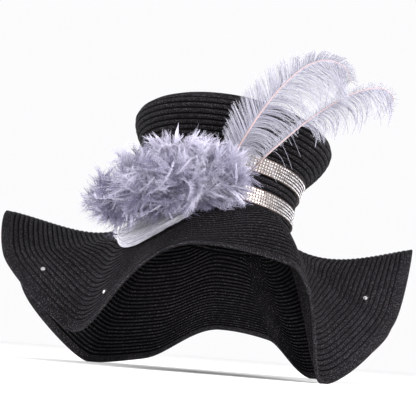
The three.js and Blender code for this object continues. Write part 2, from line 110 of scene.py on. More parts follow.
# Its clumps: where each is sewn (right, up, out), its feathers' length and how far they point
# to the front
CLUMPS = [
    (-30, 16, 8, 42, 0.1), (-52, -2, 8, 42, 0.1), (-64, -18, 10, 42, 0.1), (-50, -20, 16, 34, 0.3),
    (-34, -12, 20, 36, 0.3), (-12, 8, 26, 34, 0.5), (-6, 24, 8, 40, 0.1), (22, 18, 8, 40, 0.1),
    (18, -2, 26, 34, 0.5), (-20, -16, 24, 32, 0.5), (8, -14, 26, 30, 0.5), (40, 8, 8, 40, 0.1),
    (50, -8, 8, 38, 0.1), (32, -12, 18, 34, 0.4), (-24, 0, 30, 32, 0.6), (4, 12, 30, 30, 0.6),
    (-30, 2, 2, 32, 0.95), (4, -2, 10, 30, 0.3), (-4, -18, 12, 28, 0.4), (-44, -8, 4, 30, 0.8),
    (12, 24, 8, 38, 0.1), (32, 20, 10, 36, 0.1), (-46, -24, 18, 28, 0.2), (-26, -22, 16, 26, 0.2),
    (56, 6, 12, 42, 0.1), (60, -6, 16, 36, 0.2),
]
# Lowest that its tips hang, against how far to the right they are
HEM = ((-75, -40, -15, 10, 40), (-36, -37, -30, -21, -18))
CLUMP_FEATHERS, CURLS, TUFTS = 9, 14, 8
DOWN_BARB = 17.0
MARABOU_DEPTH = 46
MARABOU_CENTRE, MARABOU_TURN = np.array([-36.0, -117.0, 190.0]), math.radians(15.0)
# Its head's half width, depth and height, and its pad's angle, height and length
MARABOU_HEAD, PAD = (20, 8, 17), (236.7, 25.0, 24)
# The marabou's own right, up and out
MARABOU_AXES = np.array([
    (math.cos(MARABOU_TURN), -math.sin(MARABOU_TURN), 0.0),
    (0.0, 0.0, 1.0),
    (-math.sin(MARABOU_TURN), -math.cos(MARABOU_TURN), 0.0),
])

# Base feathers: angle at root, bend and tip, way to the edge at the same three, and width
BLADES = [
    ((248, 233, 190), (0.15, 0.2, 0.27), 20),
    ((249.5, 240, 208), (0.15, 0.35, 0.32), 22),
    ((251, 250, 229), (0.15, 0.44, 0.41), 22),
]
BLADE_LIFT, BLADE_RISE, BLADE_STACK = 1.9, 0.6, 0.8
BLADE_OUTLINE = [(0, 0.35), (0.2, 0.7), (0.45, 1), (0.7, 0.9), (0.88, 0.45), (1, 0.05)]
BLADE_BARBS = 170
BLADE_RUN = 0.3
LOOSE_FIBRES = 240
# The fibres' upper and lower border at root, bend and tip: angles, then ways to the edge
FIBRE_FAN = [((248, 236, 190), (262, 262, 196)), ((0.15, 0.2, 0.26), (0.42, 0.86, 0.13))]

# Plumes: seat on the crown (angle, height), then the quill in the air with the vane's
# reach above and below it (x, y, z, outer, inner)
PLUMES = {
    "plume_left": ((268, 41), [
        (21, -120, 226, 24, 22), (31, -128, 245, 40, 34), (47, -133, 274, 43, 44),
        (66, -135, 302, 33, 50), (89, -134, 327, 20, 50), (113, -130, 339, 14, 44),
        (134, -124, 335, 12, 30), (143, -120, 320, 10, 16),
    ]),
    "plume_right": ((284, 41), [
        (55, -126, 229, 8, 9), (80, -124, 255, 12, 20), (99, -120, 274, 13, 26),
        (128, -113, 298, 13, 30), (153, -107, 314, 13, 32), (179, -100, 322, 11, 30),
        (194, -95, 314, 9, 18), (191, -93, 301, 8, 8),
    ]),
}

QUILL_SEAT, QUILL_RADII = 1.35, (1.15, 0.3)
# Each vane: barbs, hairs on a barb, hair length, (first barb, last barb, lean, droop, curl)
PLUME_LOOKS = {
    "plume_left": {
        "outer": (380, 80, 2.0, (0.07, 1, 40, 0.10, 0.0)),
        "inner": (360, 120, 2.4, (0.07, 1, 34, 0.42, 0.0)),
    },
    "plume_right": {
        "outer": (190, 30, 1.5, (0.16, 1, 44, 0.05, 0.35)),
        "inner": (190, 64, 2.0, (0.4, 0.97, 46, 0.6, 0.15)),
    },
}
# Darker single strands that hang through the inner vane, and how they leave the quill
PLUME_STRANDS = {"plume_left": 10, "plume_right": 28}
STRAND_LOOK = (0.43, 0.9, 44, 0.6, 0.5)

# Loose barbs: (share of the quill where they start, length, bow, how far they hang)
STRAYS = {
    "plume_left": [(0.16, 62, 9, 0), (0.4, 40, 6, 0)],
    "plume_right": [
        (0.12, 26, 3, 45), (0.16, 22, -4, 34), (0.2, 26, 3, 44), (0.25, 24, 5, 40), (0.6, 36, 6, 0),
    ],
}

# Widths of each kind of barb, shaft or strand at root and tip, and of the finest hairs
WIDTHS = {
    "plume": (0.55, 0.15), "stray": (0.45, 0.2), "strand": (1.1, 0.6), "down": (0.5, 0.14),
    "stem": (0.9, 0.35), "tuft": (1.1, 0.15), "shaft": (1.3, 0.4), "fibre": (0.8, 0.2),
    "blade": (0.8, 0.3),
}
HAIR_WIDTH = 0.16
# Ways that the feathers' broad sides look
PLUME_FACE, MARABOU_FACE = (0.0, -1.0, 0.2), (0.15, -1.0, 0.25)

# Camera, in metres: it stands just above the floor, in front of the hat
CAMERA_DISTANCE, CAMERA_HEIGHT = 1.1, 0.018
CAMERA_AIM = (0.0, 0.0, 0.190)
CAMERA_ROLL = 4.5
SCALE_AT_HAT = 1.166  # millimetres a pixel at the hat's middle
FRAME_PIXELS = 416

FLOOR_HALF = 40.0  # metres
# Lights, in metres, watts and degrees: name, place, size, power, height aimed at, spread
LIGHTS = [
    ("key", (2.0, -1.2, 0.8), (1.0, 0.8), 96, 0.18, 180),
    ("fill", (-1.8, -1.3, 0.9), (1.4, 1.2), 66, 0.18, 180),
    ("right_near", (0.7, -0.75, 0.3), (0.3, 0.3), 4.5, 0.1, 180),
    ("left_low", (-1.7, -0.7, 0.1), (0.8, 0.15), 7, 0.06, 180),
    ("front", (0.1, -2.4, 0.2), (1.6, 0.3), 11, 0.18, 180),
    ("low_strip", (0.0, -0.8, 0.02), (1.1, 0.03), 0.9, 0.08, 14),
]

# Colours: straw over its tone, from its painted groove shade to its painted glints; feathers from
# their roots, darkened as painted shade, through their middles to their tips
STRAW_TONES = [
    (0.0, (0.0002, 0.0002, 0.0003)), (1.0, (0.128, 0.117, 0.132)), (0.35, (0.0094, 0.0085, 0.01)),
]
FEATHER_TONES = {
    "marabou": ((0.03, 0.025, 0.062), (0.136, 0.127, 0.2), (0.49, 0.47, 0.57)),
    "base_feather": ((0.04, 0.036, 0.06), (0.22, 0.21, 0.265), (0.8, 0.79, 0.84)),
    "ostrich_plume": ((0.155, 0.15, 0.195), (0.25, 0.245, 0.3), (0.355, 0.35, 0.4)),
    "quill": ((0.22, 0.15, 0.15), (0.29, 0.21, 0.21), (0.36, 0.27, 0.27)),
}

rng = np.random.default_rng(7)
UP, FRONT = np.array([0.0, 0.0, 1.0]), np.array([0.0, -1.0, 0.0])


def turned(x, y, z):
    """Points of the crown's tilted frame in the hat's frame."""
    a, b = math.radians(-LEAN_BACK), math.radians(LEAN_RIGHT)
    y2, z2 = y * math.cos(a) - z * math.sin(a), y * math.sin(a) + z * math.cos(a)
    x3, z3 = x * math.cos(b) + z2 * math.sin(b), -x * math.sin(b) + z2 * math.cos(b)
    return np.stack(np.broadcast_arrays(x3 + RING[0], y2 + RING[1], z3 + RING[2]), -1)


def crown_points(at, out, height, out_y=None):
    """Points at an angle, a stand-out from the head ring and a height over it."""
    a = np.radians(at)
    if out_y is None:
        out_y = out
    return turned((HEAD_HALF[0] + out) * np.cos(a), (HEAD_HALF[1] + out_y) * np.sin(a), height)


def hat_shift():
    """From the hat's frame to the row frame, found from the mount on the crown's ceiling."""
    mount = next(m for m in frame["record"]["mounts"] if m["name"] == "crown_ceiling")
    ceiling = turned(0.0, 0.0, CEILING - STRAW)
    return np.array(mount["pos_m"]) * 1000 - ceiling


SHIFT = hat_shift()


def fold_column(column, at):
    """One column of FOLDS at any angle: smooth, periodic, and never past its rows."""
    xs, ys = FOLDS[:, 0], FOLDS[:, column]
    n = len(xs)
    at = np.mod(np.asarray(at, float) - xs[0], 360) + xs[0]
    h = np.diff(np.append(xs, xs[0] + 360))
    rise = np.diff(np.append(ys, ys[0])) / h
    slope = np.zeros(n)
    for k in range(n):
        a, b = rise[k - 1], rise[k]
        if a * b > 0:
            wa, wb = 2 * h[k] + h[k - 1], h[k] + 2 * h[k - 1]
            slope[k] = (wa + wb) / (wa / a + wb / b)
    k = np.clip(np.searchsorted(np.append(xs, xs[0] + 360), at, side="right") - 1, 0, n - 1)
    t = (at - xs[k]) / h[k]
    nxt = (k + 1) % n
    return (
        (2 * t**3 - 3 * t**2 + 1) * ys[k] + (t**3 - 2 * t**2 + t) * h[k] * slope[k]
        + (3 * t**2 - 2 * t**3) * ys[nxt] + (t**3 - t**2) * h[k] * slope[nxt]
    )


def brim_points(at, way):
    """Brim's top side: at and way broadcast together, way 0 at the head ring and 1 at the edge."""
    at, way = np.broadcast_arrays(at, way)
    a = np.radians(at)
    outward = np.stack([np.cos(a), np.sin(a), 0 * a], -1)

    def along(column):
        slope = np.radians(fold_column(column, at))[..., None]
        return outward * np.cos(slope) + UP * np.sin(slope)

    start = crown_points(at, 0.0, 0.0)
    end = outward * fold_column(1, at)[..., None] + UP * fold_column(2, at)[..., None]
    pull = PULL * np.linalg.norm(end - start, axis=-1, keepdims=True)
    first, second = start + along(3) * pull, end - along(4) * pull
    s = way[..., None]
    return (
        (1 - s)**3 * start + 3 * (1 - s)**2 * s * first
        + 3 * (1 - s) * s**2 * second + s**3 * end
    )


def unit(v):
    return v / np.maximum(np.linalg.norm(v, axis=-1, keepdims=True), 1e-9)


def around(count):
    """Even angles once round, in degrees."""
    return np.arange(count) * 360 / count


def circle(count, radius, z, skew=0.0):
    a = np.radians(around(count)) + skew
    return np.stack([radius * np.cos(a), radius * np.sin(a), 0 * a + z], -1)


def lengths(path):
    """Length so far at each point along paths (..., m, k)."""
    steps = np.linalg.norm(np.diff(path, axis=-2), axis=-1)
    return np.concatenate([np.zeros_like(steps[..., :1]), np.cumsum(steps, -1)], -1)


def between(at, stops, points):
    """Points (m, k) that belong to the stops, read at other places."""
    return np.stack([np.interp(at, stops, column) for column in points.T], -1)


def on_path(path, t):
    """Points on paths (..., m, 3) at fractional places t, and the ways that they run there."""
    k = np.minimum(t.astype(int), path.shape[-2] - 2)
    a, b = path[..., k, :], path[..., k + 1, :]
    share = (t - k)[:, None]
    return a * (1 - share) + b * share, unit(b - a)


def smooth_path(points, count):
    """Catmull-Rom curve through points, at count even steps of its parameter."""
    p = np.vstack([2 * points[0] - points[1], points, 2 * points[-1] - points[-2]])
    t = np.linspace(0, len(points) - 1, count)
    k = np.minimum(t.astype(int), len(points) - 2)
    s = (t - k)[:, None]
    a, b, c, d = p[k], p[k + 1], p[k + 2], p[k + 3]
    bow = (2 * a - 5 * b + 4 * c - d) * s**2 + (3 * b - a - 3 * c + d) * s**3
    return 0.5 * (2 * b + (c - a) * s + bow)


def add(name, data):
    thing = bpy.data.objects.new(name, data)
    bpy.context.scene.collection.objects.link(thing)
    return thing


def brim_normals(at, way):
    out = brim_points(at, np.minimum(way + 0.01, 1)) - brim_points(at, np.maximum(way - 0.01, 0))
    return unit(np.cross(out, brim_points(at + 0.5, way) - brim_points(at - 0.5, way)))


# Meshes

def mesh_piece(name, points, faces, material, point_uv=None, uv=None, smooth=True):
    """A piece from points in millimetres and a list of face arrays, riding on the hat."""
    faces = [np.asarray(f, np.int64) for f in faces if len(f)]
    counts = np.concatenate([np.full(len(f), f.shape[1]) for f in faces])
    loops = np.concatenate([f.ravel() for f in faces])
    mesh = bpy.data.meshes.new(name)
    mesh.vertices.add(len(points))
    mesh.vertices.foreach_set("co", ((points + SHIFT) * 0.001).astype(np.float32).ravel())
    mesh.loops.add(len(loops))
    mesh.loops.foreach_set("vertex_index", loops.astype(np.int32))
    mesh.polygons.add(len(counts))
    starts = np.concatenate([[0], np.cumsum(counts)[:-1]])
    mesh.polygons.foreach_set("loop_start", starts.astype(np.int32))
    mesh.polygons.foreach_set("use_smooth", np.full(len(counts), smooth))
    mesh.materials.append(material)
    mesh.update(calc_edges=True)
    if point_uv is not None:
        uv = point_uv[loops]
    if uv is not None:
        layer = mesh.uv_layers.new(name="UVMap")
        layer.data.foreach_set("uv", np.asarray(uv, np.float32).ravel())
    mesh.validate()
    piece = add(name, mesh)
    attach(piece, "root")
    return piece


def ring_faces(rounds, size, closed=True, wraps=True):
    """Quads over a grid of rounds x size points.

    Closed joins the last round to the first, and wraps each round's end to its start.
    """
    i = np.arange(rounds if closed else rounds - 1)[:, None]
    j = np.arange(size if wraps else size - 1)[None, :]
    nxt = (i + 1) % rounds
    side = (j + 1) % size
    corners = [i * size + j, nxt * size + j, nxt * size + side, i * size + side]
    return np.stack(corners, -1).reshape(-1, 4)


def caps(centres, first, last):
    """Triangles that close a tube's ends: rings of point numbers, and centres that follow on."""
    rings = [(centres, first, np.roll(first, -1)), (centres + 1, np.roll(last, -1), last)]
    return np.concatenate([np.stack(np.broadcast_arrays(*ring), -1) for ring in rings])


def resample(path, stops):
    """Points on each row of path (n, m, 3) at the given lengths (n, k)."""
    return np.stack([between(*row) for row in zip(stops, lengths(path), path)])


# Materials

class Look:
    """A material, with short ways to add nodes to it and to join them."""

    def __init__(self, name):
        self.material = bpy.data.materials.new(name)
        self.material.use_nodes = True
        self.nodes, self.links = self.material.node_tree.nodes, self.material.node_tree.links
        self.shader = self.nodes["Principled BSDF"]

    def feed(self, socket, value):
        """A number on the socket itself, or a link to it."""
        if isinstance(value, (int, float)):
            socket.default_value = value
        else:
            self.links.new(value, socket)

    def settle(self, values):
        """The finished material, its shader's inputs fed by name."""
        for name, value in values.items():
            self.feed(self.shader.inputs[name], value)
        return self.material

    def node(self, kind, values):
        """A new node, its inputs fed by name or place."""
        node = self.nodes.new("ShaderNode" + kind)
        for key, value in values.items():
            self.feed(node.inputs[key], value)
        return node

    def op(self, operation, *values):
        node = self.node("Math", dict(enumerate(values)))
        node.operation = operation
        return node.outputs[0]

    def ramp(self, factor, stops):
        """Colours over the factor: the two ends first, then what lies between them."""
        ramp = self.nodes.new("ShaderNodeValToRGB")
        for element, (place, colour) in zip(ramp.color_ramp.elements, stops[:2]):
            element.position = place
            element.color = (*colour, 1)
        for place, colour in stops[2:]:
            ramp.color_ramp.elements.new(place).color = (*colour, 1)
        self.links.new(factor, ramp.inputs[0])
        return ramp.outputs[0]

    def noise(self, scale, detail=3.0):
        place = self.node("TexCoord", {}).outputs["Object"]
        node = self.node("TexNoise", {"Scale": scale, "Detail": detail, "Vector": place})
        return node.outputs["Fac"]

    def remap(self, value, low, high, start=0.0, end=1.0):
        node = self.node("MapRange", dict(enumerate((value, low, high, start, end))))
        node.interpolation_type = "SMOOTHSTEP"
        return node.outputs[0]

    def uv(self):
        """Both parts of the UV map."""
        uv = self.node("UVMap", {})
        uv.uv_map = "UVMap"
        return self.node("SeparateXYZ", {0: uv.outputs[0]}).outputs[:2]


def straw_material():
    """Black plaited braid: slanting strands that meet along each row's middle, with shade painted
    dark into the grooves between rows and glints painted as bright specks.
    """
    look = Look("straw_braid")
    along, across = look.uv()
    from_edge = look.op("PINGPONG", across, 0.5)
    # Painted shade: the colour goes dark towards each row's edge, in the groove between rows.
    painted_groove_shade = look.remap(from_edge, 0.04, 0.28)
    plait = look.op("ADD", look.op("MULTIPLY", along, 0.55), look.op("MULTIPLY", from_edge, 2.4))
    wave = look.op("SINE", look.op("MULTIPLY", plait, 2 * math.pi))
    speckle = look.noise(1100.0, 2.0)
    height = look.op("ADD", wave, look.op("MULTIPLY", speckle, 2.0))
    bump = look.node("Bump", {"Strength": 0.8, "Distance": 0.0003, "Height": height})
    # Plait strands, then painted glints and a broad random tone, added into one brightness.
    plait_grain_and_glints = look.op("MULTIPLY_ADD", wave, 0.08, 0.1)
    # Painted glints: the brightest specks of the fine noise lighten the colour; the broad noise is
    # random tone.
    for part, share in ((look.remap(speckle, 0.55, 0.7), 0.65), (look.noise(18.0), 0.25)):
        plait_grain_and_glints = look.op("ADD", plait_grain_and_glints, look.op("MULTIPLY", part, share))
    # Painted shade: the whole tone is darkened in the grooves.
    tone = look.op("MULTIPLY", plait_grain_and_glints, painted_groove_shade)
    return look.settle({
        "Base Color": look.ramp(tone, STRAW_TONES),
        "Normal": bump.outputs[0],
        "Roughness": look.remap(tone, 0.0, 0.6, 0.8, 0.4),
        "Specular IOR Level": 0.03,
    })


def metal_material(name, colour, roughness):
    """Metal with darker worn places."""
    look = Look(name)
    worn = tuple(0.75 * c for c in colour)
    tone = look.ramp(look.noise(700.0), [(0.3, worn), (0.7, colour)])
    return look.settle({"Base Color": tone, "Metallic": 1.0, "Roughness": roughness})


def crystal_material(name, grain, dark, light):
    """Foil-backed cut stone: its colour painted in light and dark patches as the glints and
    reflections of its facets, differing from stone to stone or within one.
    """
    look = Look(name)
    # Painted reflections: noise sets light and dark patches in the stone's colour.
    tone = look.ramp(look.noise(grain, 1.0), [(0.36, dark), (0.56, light)])
    return look.settle({
        "Base Color": tone, "Metallic": 0.25, "Roughness": 0.12,
        "Coat Weight": 0.6, "Coat Roughness": 0.02,
    })


def feather_material(name, dark, middle, light):
    """Barbs with shade painted darker at their roots and lighter at their tips, and uneven among
    themselves.
    """
    look = Look(name)
    share, tone = look.uv()
    # Painted shade: the first UV part darkens the roots; the second is each strip's tone.
    shade = look.op("ADD", look.op("MULTIPLY", share, 0.45), look.op("MULTIPLY", tone, 0.4))
    shade = look.op("ADD", shade, look.op("MULTIPLY", look.noise(45.0), 0.3))
    return look.settle({
        "Base Color": look.ramp(shade, [(0.15, dark), (0.95, light), (0.5, middle)]),
        "Roughness": 0.7, "Specular IOR Level": 0.25, "Sheen Weight": 0.25, "Sheen Roughness": 0.5,
    })


# Straw: sewn braid rows

def row_stops(edges, relief):
    """Length of each profile point over rows whose edges are (n, rows + 1), and its row.

    The last row is the smooth binding, which carries the middle of the pattern all over, so no
    painted groove shade falls on it.
    """
    stops, across = [], []
    last = edges.shape[1] - 2
    for k in range(last + 1):
        for share, _, pattern in relief:
            stops.append(edges[:, k] + share * (edges[:, k + 1] - edges[:, k]))
            across.append(k + (0.5 if k == last else pattern))
    return np.stack(stops, 1), np.array(across)


def uneven(edges):
    """The same row edges, each a little wavy round the hat as hand-guided sewing leaves it."""
    turn = np.radians(around(len(edges)))[:, None]
    rows = edges.shape[1]
    waves = rng.integers(3, 14, rows)
    phase = rng.uniform(0, 2 * np.pi, rows)
    shift = UNEVEN * np.sin(waves * turn + phase)
    shift[:, [0, -1]] = 0
    return edges + shift


def sheet_normals(points):
    along = np.gradient(points, axis=1)
    across = np.roll(points, -1, 0) - np.roll(points, 1, 0)
    return unit(np.cross(along, across))


def brim_path(at):
    """Dense lines over the neck, round the small bend and out to the edge, one per angle."""
    heights = np.linspace(SEAM - GAP / 2, 8.0, 6)
    neck = crown_points(at[:, None], 0.8 * np.minimum(heights / 16, 1)[None], heights[None])
    corner = crown_points(at, 0.0, 0.0)[:, None]
    out = brim_points(at[:, None], np.linspace(0.07, 1.0, 90)[None])
    t = np.linspace(0, 1, 8)[1:-1, None]
    bend = (1 - t)**2 * neck[:, -1:] + 2 * (1 - t) * t * corner + t**2 * out[:, :1]
    return np.concatenate([neck, bend, out], 1)


def closed_uv(points, across):
    """Per-face corner UVs over a closed grid: length along the row in mm, and the row."""
    steps = np.linalg.norm(np.roll(points, -1, 0) - points, axis=2)
    along = np.concatenate([np.zeros((1, points.shape[1])), np.cumsum(steps, 0)], 0)
    n, m = points.shape[:2]
    i, j = np.meshgrid(np.arange(n), np.arange(m), indexing="ij")
    side = (j + 1) % m
    row = np.broadcast_to(across, (n + 1, m))
    corners = [(i, j), (i + 1, j), (i + 1, side), (i, side)]
    return np.stack([np.stack([along[a, b], row[a, b]], -1) for a, b in corners], 2)


def brim_row_edges(total):
    """Row edges of every section: rows of one width counted in from the edge.

    Where a section is short its innermost rows run out under the neck's last row.
    """
    neck = np.linspace(0, NECK_LENGTH, NECK_ROWS + 1)[None].repeat(len(total), 0)
    rows = math.ceil((total.max() - BINDING - NECK_LENGTH) / BRIM_PITCH)
    inwards = np.arange(rows - 1, -1, -1)
    braid = total[:, None] - BINDING - inwards[None] * BRIM_PITCH
    braid = np.maximum(uneven(braid), NECK_LENGTH + LEAST_ROW * (rows - inwards)[None])
    return np.concatenate([neck, braid, (total - EDGE_START)[:, None]], 1)


def row_lifts(edges, relief):
    """Height of each profile point over the wall; a row that runs out flattens as it narrows."""
    full = np.minimum(np.diff(edges, axis=1) / BRIM_PITCH, 1)
    heights = np.array([lift for _, lift, _ in relief])
    lifts = full[:, :, None] * heights[None, None]
    lifts[:, -1] = BINDING_RELIEF
    return lifts.reshape(len(edges), -1)


def build_brim(material):
    path = brim_path(around(BRIM_SECTIONS))
    edges = brim_row_edges(lengths(path)[:, -1])
    sides = []
    for relief, down in ((ROW_RELIEF, False), (UNDER_RELIEF, True)):
        stops, across = row_stops(edges, relief)
        wall = resample(path, stops)
        normals = sheet_normals(wall)
        lift = row_lifts(edges, relief)[..., None]
        sides.append((wall - normals * (STRAW + lift) if down else wall + normals * lift, across))
    (outer, across), (under, under_across) = sides
    end, end_normal = path[:, -1], normals[:, -1]
    out_dir = unit(end - wall[:, -1])
    centre = end - end_normal * STRAW / 2 - out_dir * EDGE_INSET
    bead = np.stack([
        centre + EDGE_RADIUS * (math.cos(p) * end_normal + math.sin(p) * out_dir)
        for p in np.radians(EDGE_ANGLES)
    ], 1)
    grid = np.concatenate([outer, bead, under[:, ::-1]], 1)
    bead_rows = np.full(bead.shape[1], across[-1])
    uv = closed_uv(grid, np.concatenate([across, bead_rows, under_across[::-1]]))
    faces = ring_faces(*grid.shape[:2])
    piece = mesh_piece("brim_braid", grid.reshape(-1, 3), [faces], material, uv=uv.reshape(-1, 2))
    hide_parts("brim")


def crown_out(height):
    return np.interp(height, *np.array(CROWN).T)


def crown_rings(relief, inset):
    """Profile points (out, out across, height, row) of one side of the crown, seam to centre."""
    profile = np.array([(out, height) for height, out in CROWN], float)
    side = smooth_path(profile, PROFILE_STEPS * (len(CROWN) - 1) + 1)
    length = lengths(side)
    sign = 1 if inset == 0 else -1
    side_rows = round(length[-1] / CROWN_PITCH)
    tangent = unit(np.gradient(side, axis=0))
    normal = np.stack([tangent[:, 1], -tangent[:, 0]], -1)
    rings = []
    for k in range(side_rows):
        for share, lift, pattern in relief:
            s = (k + share) * length[-1] / side_rows
            p = between(s, length, side) + between(s, length, normal) * (lift * sign - inset)
            rings.append((p[0], p[0], p[1], k + pattern))
    edge = CROWN[-1][1] - inset * 0.3
    for k in range(TOP_ROWS):
        for share, lift, pattern in relief:
            if k == TOP_ROWS - 1 and share > 0.7:
                continue
            left = 1 - (k + share) / TOP_ROWS
            out = (HEAD_HALF[0] + edge) * left - HEAD_HALF[0]
            out_y = (HEAD_HALF[1] + edge) * left - HEAD_HALF[1]
            height = CEILING - inset + lift * sign
            rings.append((out, out_y, height, side_rows + k + pattern))
    return rings


def build_crown(material):
    at = around(CROWN_SECTIONS)
    rings = crown_rings(CROWN_RELIEF, 0.0)[::-1] + crown_rings(INNER_RELIEF, STRAW)
    grid = np.stack([crown_points(at, o, h, oy) for o, oy, h, _ in rings], 1)
    n, m = grid.shape[:2]
    quads = ring_faces(n, m, wraps=False)[:, ::-1]
    first = np.arange(n) * m
    ends = caps(n * m, first, first + m - 1)
    centres = [turned(0.0, 0.0, height) for height in (CEILING + 0.3, CEILING - STRAW)]
    points = np.concatenate([grid.reshape(-1, 3), centres])
    uv = closed_uv(grid, np.array([r[3] for r in rings]))[:, :-1, ::-1].reshape(-1, 2)
    uv = np.concatenate([uv, np.zeros((len(ends) * 3, 2))])
    piece = mesh_piece("crown_braid", points, [quads, ends], material, uv=uv)
    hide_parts("crown")


# Stones

def cut_stone(sides, girdle, table, rise, skew=0.0):
    """Unit stone round +Z: points and triangles of its girdle, crown facets and table."""
    low = circle(sides, girdle, 0, skew)
    high = circle(sides, table, rise, skew + np.pi / sides)
    points = np.concatenate([low, high, [(0, 0, rise)]])
    faces = []
    for k in range(sides):
        n = (k + 1) % sides
        faces += [(k, n, sides + k), (n, sides + n, sides + k), (sides + k, sides + n, 2 * sides)]
    return points, np.array(faces)


def cup(sides, rim, foot, rise):
    """Unit setting round +Z, open upwards: points and quads."""
    rings = [(foot, -0.9), (rim, rise), (rim - 0.18, rise), (rim - 0.2, -0.1)]
    circles = [circle(sides, *ring) for ring in rings]
    faces = np.roll(ring_faces(len(rings), sides, False)[:, ::-1], 1, 1)
    return np.concatenate(circles), faces


def scatter(unit_points, unit_faces, places, axes):
    """Copies of a unit shape at places (n, 3), turned by axes (n, 3, 3) whose rows are x, y, z."""
    points = places[:, None] + np.einsum("pc,ncd->npd", unit_points, axes)
    faces = unit_faces[None] + (np.arange(len(places)) * len(unit_points))[:, None, None]
    return points.reshape(-1, 3), faces.reshape(-1, unit_faces.shape[1])


def join(name, parts, material, smooth=True):
    """One piece of (points, faces, shade) parts, whose faces may have three or four corners."""
    points, shades, tris, quads, start = [], [], [], [], 0
    for p, f, *shade in parts:
        points.append(p)
        shades.append(shade[0] if shade else np.full((len(p), 2), 0.5))
        (tris if f.shape[1] == 3 else quads).append(f + start)
        start += len(p)
    faces = [np.concatenate(f) for f in (tris, quads) if f]
    shade = np.concatenate(shades)
    return mesh_piece(name, np.concatenate(points), faces, material, shade, smooth=smooth)


def oval_angles(out, count):
    """Angles of equal steps along the oval that stands out from the head ring."""
    a = np.linspace(0, 2 * np.pi, 4001)
    oval = [(HEAD_HALF[0] + out) * np.cos(a), (HEAD_HALF[1] + out) * np.sin(a)]
    length = lengths(np.stack(oval, -1))
    stops = np.arange(count) * length[-1] / count
    return np.degrees(np.interp(stops, length, a)), length[-1]


def band_out(name, height):
    low, high = BAND_SPANS[name]
    a, b = crown_out(low), crown_out(high)
    return a + (b - a) * (height - low) / (high - low) + GAP + BAND_WALL


def build_band(name, crystal, silver, rose):
    low, high = BAND_SPANS[name]
    _, girth = oval_angles(band_out(name, low), 1)
    count = round(girth / STONE_PITCH)
    pitch = (high - low) / STONE_ROWS
    places, axes = [], []
    for row in range(STONE_ROWS):
        height = low + (row + 0.5) * pitch
        out = band_out(name, height)
        at, _ = oval_angles(out, count)
        side = unit(crown_points(at + 0.3, out, height) - crown_points(at - 0.3, out, height))
        below, above = (
            crown_points(at, band_out(name, h), h) for h in (height - 1, height + 1)
        )
        rise = unit(above - below)
        places.append(crown_points(at, out - 0.9, height))
        axes.append(np.stack([side, rise, np.cross(side, rise)], 1))
    places, axes = np.concatenate(places), np.concatenate(axes)
    wobble = rng.normal(0, 0.06, (len(places), 2))
    axes[:, 2] += wobble[:, :1] * axes[:, 0] + wobble[:, 1:] * axes[:, 1]
    axes[:, 2] = unit(axes[:, 2])
    axes[:, 0] = unit(np.cross(axes[:, 1], axes[:, 2]))
    axes[:, 1] = np.cross(axes[:, 2], axes[:, 0])
    points, faces = scatter(*cut_stone(*BAND_STONE, np.pi / 8), places, axes)
    stones = mesh_piece(f"{name}_stones", points, [faces], crystal, smooth=False)
    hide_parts(name)
    cups = scatter(*cup(*BAND_CUP), places, axes)
    settings = join(f"{name}_cups", [cups, band_strip(name)], silver, False)
    edges = [edge_wire(name, low + 0.2), edge_wire(name, high - 0.2)]
    wires = join(f"{name}_edges", edges, rose)


def band_strip(name):
    """Thin flat strip under the cups, from the crown's outside to the cups' feet."""
    low, high = BAND_SPANS[name]
    loop = [(-BAND_WALL, low), (-BAND_WALL, high), (-1.2, high), (-1.2, low)]
    grid = np.stack([crown_points(around(240), band_out(name, h) + o, h) for o, h in loop], 1)
    return grid.reshape(-1, 3), ring_faces(*grid.shape[:2])


def edge_wire(name, height):
    p = np.radians(around(6))
    out = band_out(name, height) - WIRE_RADIUS + WIRE_RADIUS * np.cos(p)
    grid = crown_points(around(360)[:, None], out, height + WIRE_RADIUS * np.sin(p))
    return grid.reshape(-1, 3), ring_faces(*grid.shape[:2])


def dress_loose_stones(crystal, silver):
    """Better material for the cut stones on the brim, and a small cup round each."""
    at, way = np.array(LOOSE_STONES, float).T
    normal = brim_normals(at, way)
    side = unit(np.cross(normal, UP))
    axes = np.stack([side, np.cross(normal, side), normal], 1)
    centres = []
    for k in range(len(LOOSE_STONES)):
        node = frame["nodes"][f"brim_stone_{k + 1}"]
        node.data.materials.clear()
        node.data.materials.append(crystal)
        low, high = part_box(f"brim_stone_{k + 1}")
        centres.append(np.array((low + high) / 2) * 1000 - SHIFT)
    cups = scatter(*cup(*LOOSE_CUP), np.array(centres), axes)
    piece = join("brim_stone_cups", [cups], silver, False)


# Feathers

def ribbons(curves, kind, face, tone, place=None):
    """Flat tapering strips of a kind in WIDTHS along curves (n, m, 3), broad side to face.

    Each point carries its painted shade, darker towards the strip's root and towards the feather's
    root where a place on it is given, and the strip's own tone.
    """
    along = np.gradient(curves, axis=1)
    n, m = curves.shape[:2]
    width = np.linspace(*WIDTHS[kind], m)[None, :, None]
    side = unit(np.cross(along, face)) * width / 2
    points = np.stack([curves - side, curves + side], 2).reshape(-1, 3)
    a = (np.arange(n)[:, None] * m + np.arange(m - 1)) * 2
    faces = np.stack([a, a + 1, a + 3, a + 2], -1).reshape(-1, 4)
    share = painted_root_shade(np.linspace(0, 1, m), n, place)[..., None].repeat(2, 2)
    tones = np.broadcast_to(np.asarray(tone)[:, None, None], (n, m, 2))
    return points, faces, np.stack([share, tones], -1).reshape(-1, 2)


# Painted shade: darker towards the roots of strips and of feathers, lighter towards their tips.
def painted_root_shade(share, count, place):
    if place is None:
        return np.broadcast_to(share, (count, len(share)))
    return 0.45 * share[None] + 0.55 * np.asarray(place)[:, None]


